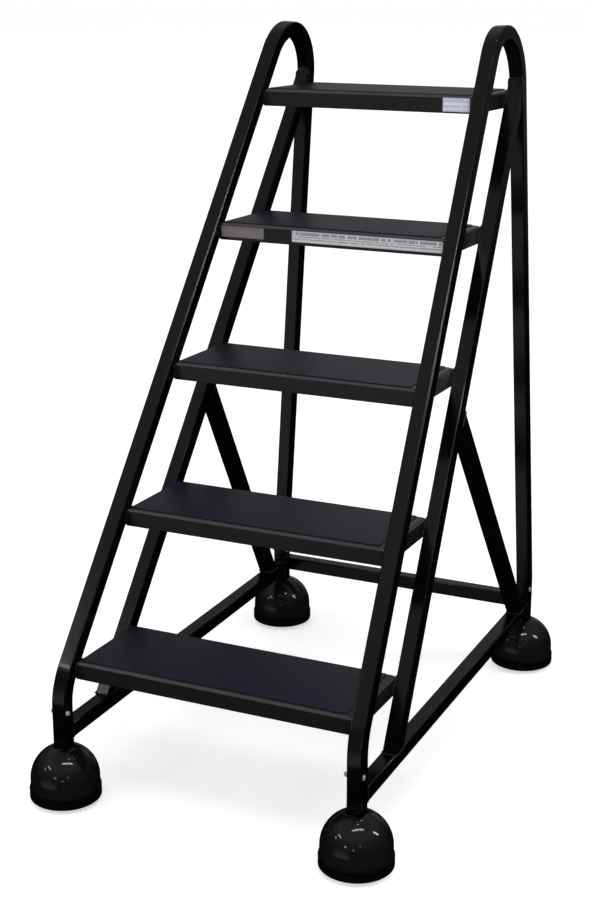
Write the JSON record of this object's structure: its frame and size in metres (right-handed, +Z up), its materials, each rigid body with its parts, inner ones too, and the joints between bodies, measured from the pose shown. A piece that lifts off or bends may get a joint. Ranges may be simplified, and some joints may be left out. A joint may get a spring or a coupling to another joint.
{
  "type": "library ladder",
  "caption": "Rolling library step ladder with bent square-tube side frames, matted sheet-metal steps, and sprung swivel casters inside domed foot cups.",
  "frame": {"origin": "on the floor, under the middle of the ladder's bounding box", "axes": "+X across the steps to the climber's right, +Y from the climber into the ladder, +Z up"},
  "size_m": [0.7112, 1.065, 1.3567],
  "materials": {
    "frame": "gloss black enamel over steel tube",
    "step": "gloss black enamel over sheet steel",
    "mat": "fine-textured matt rubber, near black",
    "label": "printed film, plain",
    "foil_label": "grey foil, plain",
    "cup": "glossy black moulding",
    "ring": "matt black rubber",
    "socket": "moulded nylon",
    "rivet": "bright plated steel",
    "spring": "spring steel wire",
    "zinc": "zinc-plated steel",
    "wheel": "grey moulded wheel"
  },
  "bodies": {
    "frame": {"left_side_tube": "frame", "left_rear_stringer": "frame", "left_base_rail": "frame", "left_brace": "frame", "right_side_tube": "frame", "right_rear_stringer": "frame", "right_base_rail": "frame", "right_brace": "frame", "rear_crossbar": "frame", "step_1": "step", "step_2": "step", "step_3": "step", "step_4": "step", "step_5": "step", "step_mat_1": "mat", "step_mat_2": "mat", "step_mat_3": "mat", "step_mat_4": "mat", "step_mat_5": "mat", "rating_label": "foil_label", "instruction_label": "label", "maker_label": "label", "front_left_cup": "cup", "front_left_rubber_ring": "ring", "front_left_caster_socket": "socket", "front_left_leg_rivet": "rivet", "front_left_caster_spring": "spring", "front_right_cup": "cup", "front_right_rubber_ring": "ring", "front_right_caster_socket": "socket", "front_right_leg_rivet": "rivet", "front_right_caster_spring": "spring", "rear_left_cup": "cup", "rear_left_rubber_ring": "ring", "rear_left_caster_socket": "socket", "rear_left_leg_rivet": "rivet", "rear_left_caster_spring": "spring", "rear_right_cup": "cup", "rear_right_rubber_ring": "ring", "rear_right_caster_socket": "socket", "rear_right_leg_rivet": "rivet", "rear_right_caster_spring": "spring"},
    "front_left_stem": {"front_left_caster_stem": "zinc"},
    "front_left_fork": {"front_left_caster_fork": "zinc", "front_left_wheel_axle": "zinc"},
    "front_left_wheel": {"front_left_wheel": "wheel"},
    "front_right_stem": {"front_right_caster_stem": "zinc"},
    "front_right_fork": {"front_right_caster_fork": "zinc", "front_right_wheel_axle": "zinc"},
    "front_right_wheel": {"front_right_wheel": "wheel"},
    "rear_left_stem": {"rear_left_caster_stem": "zinc"},
    "rear_left_fork": {"rear_left_caster_fork": "zinc", "rear_left_wheel_axle": "zinc"},
    "rear_left_wheel": {"rear_left_wheel": "wheel"},
    "rear_right_stem": {"rear_right_caster_stem": "zinc"},
    "rear_right_fork": {"rear_right_caster_fork": "zinc", "rear_right_wheel_axle": "zinc"},
    "rear_right_wheel": {"rear_right_wheel": "wheel"}
  },
  "joints": [
    {"name": "front_left_caster_press", "type": "slide", "parent": "frame", "child": "front_left_stem", "axis": [0, 0, 1], "range_m": [0, 0.008], "stiffness_N_per_m": 6000, "springref_m": -0.015, "deforming": ["front_left_caster_spring"]},
    {"name": "front_left_caster_swivel", "type": "hinge", "parent": "front_left_stem", "child": "front_left_fork", "pos_m": [-0.2896, -0.4665, 0.056], "axis": [0, 0, 1], "continuous": true},
    {"name": "front_left_wheel_spin", "type": "hinge", "parent": "front_left_fork", "child": "front_left_wheel", "pos_m": [-0.2896, -0.4465, 0.025], "axis": [1, 0, 0], "continuous": true},
    {"name": "front_right_caster_press", "type": "slide", "parent": "frame", "child": "front_right_stem", "axis": [0, 0, 1], "range_m": [0, 0.008], "stiffness_N_per_m": 6000, "springref_m": -0.015, "deforming": ["front_right_caster_spring"]},
    {"name": "front_right_caster_swivel", "type": "hinge", "parent": "front_right_stem", "child": "front_right_fork", "pos_m": [0.2896, -0.4665, 0.056], "axis": [0, 0, 1], "continuous": true},
    {"name": "front_right_wheel_spin", "type": "hinge", "parent": "front_right_fork", "child": "front_right_wheel", "pos_m": [0.2896, -0.4465, 0.025], "axis": [1, 0, 0], "continuous": true},
    {"name": "rear_left_caster_press", "type": "slide", "parent": "frame", "child": "rear_left_stem", "axis": [0, 0, 1], "range_m": [0, 0.008], "stiffness_N_per_m": 6000, "springref_m": -0.015, "deforming": ["rear_left_caster_spring"]},
    {"name": "rear_left_caster_swivel", "type": "hinge", "parent": "rear_left_stem", "child": "rear_left_fork", "pos_m": [-0.2896, 0.4665, 0.056], "axis": [0, 0, 1], "continuous": true},
    {"name": "rear_left_wheel_spin", "type": "hinge", "parent": "rear_left_fork", "child": "rear_left_wheel", "pos_m": [-0.2896, 0.4865, 0.025], "axis": [1, 0, 0], "continuous": true},
    {"name": "rear_right_caster_press", "type": "slide", "parent": "frame", "child": "rear_right_stem", "axis": [0, 0, 1], "range_m": [0, 0.008], "stiffness_N_per_m": 6000, "springref_m": -0.015, "deforming": ["rear_right_caster_spring"]},
    {"name": "rear_right_caster_swivel", "type": "hinge", "parent": "rear_right_stem", "child": "rear_right_fork", "pos_m": [0.2896, 0.4665, 0.056], "axis": [0, 0, 1], "continuous": true},
    {"name": "rear_right_wheel_spin", "type": "hinge", "parent": "rear_right_fork", "child": "rear_right_wheel", "pos_m": [0.2896, 0.4865, 0.025], "axis": [1, 0, 0], "continuous": true}
  ]
}
